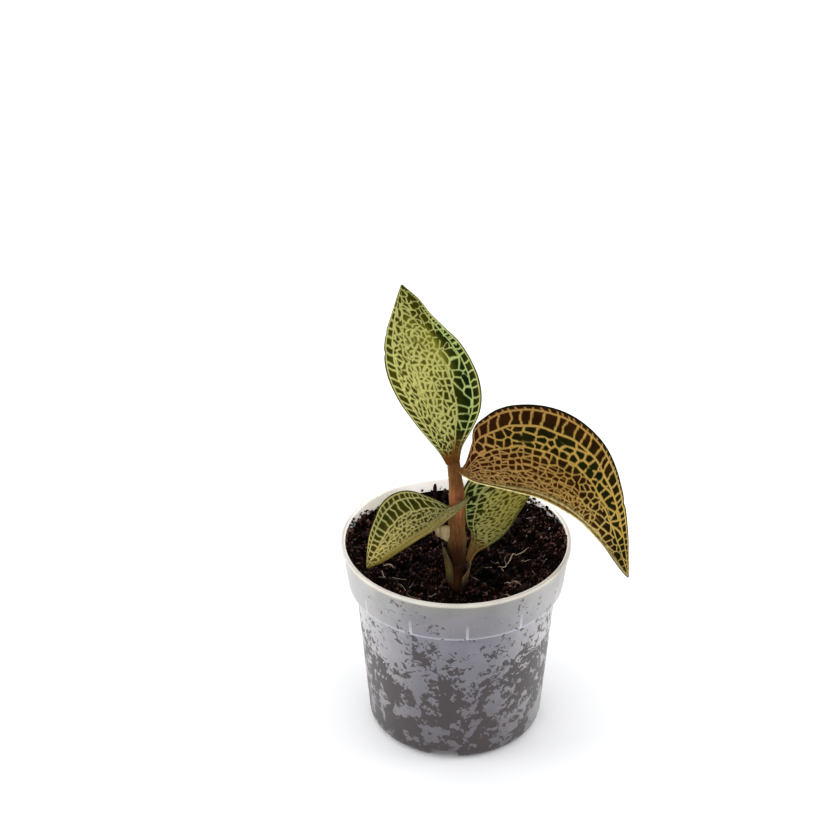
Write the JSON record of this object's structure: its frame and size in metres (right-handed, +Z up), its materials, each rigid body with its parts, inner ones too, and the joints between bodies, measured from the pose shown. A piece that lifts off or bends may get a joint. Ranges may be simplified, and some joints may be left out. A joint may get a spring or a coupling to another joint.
{
  "type": "potted jewel orchid",
  "caption": "Young jewel orchid with gold-netted velvety leaves on a short fleshy stem, rooted in bark mix in a thin frosted nursery pot.",
  "frame": {"origin": "centre of the pot's underside, on the surface it stands on", "axes": "+Z up along the pot's axis; the right leaf arches out towards +X and the lower leaves' near halves face -Y"},
  "size_m": [0.0809, 0.065, 0.1366],
  "materials": {
    "frosted_plastic": "frosted translucent moulding",
    "bark_mix": "damp crumbly bark and coir",
    "bark": "rough broken bark",
    "perlite": "rough white expanded grain",
    "stem_skin": "smooth fleshy stem, satin",
    "root_skin": "matte felted root",
    "leaf_green": "velvety leaf with a pale net of veins",
    "leaf_copper": "velvety leaf with a copper net of veins",
    "papery_sheath": "thin dry translucent sheath"
  },
  "bodies": {
    "root": {"pot": "frosted_plastic", "soil": "bark_mix", "stem": "stem_skin", "root_right": "root_skin", "root_left": "root_skin", "root_middle": "root_skin", "surface_root_long": "root_skin", "surface_root_front": "root_skin", "surface_root_left": "root_skin", "surface_root_small": "root_skin", "bark_chip_right": "bark", "bark_chip_back": "bark", "bark_chip_left": "bark", "bark_chip_front": "bark", "bark_chip_corner": "bark", "bark_sliver_tall": "bark", "bark_sliver_short": "bark", "bark_sliver_side": "bark", "perlite_grain_back": "perlite", "perlite_grain_near": "perlite", "perlite_grain_side": "perlite", "sheath_left": "papery_sheath", "sheath_right": "papery_sheath", "sheath_torn": "papery_sheath", "leaf_upper": "leaf_green", "leaf_right": "leaf_copper", "leaf_lower_left": "leaf_green", "leaf_back": "leaf_green"}
  },
  "joints": []
}
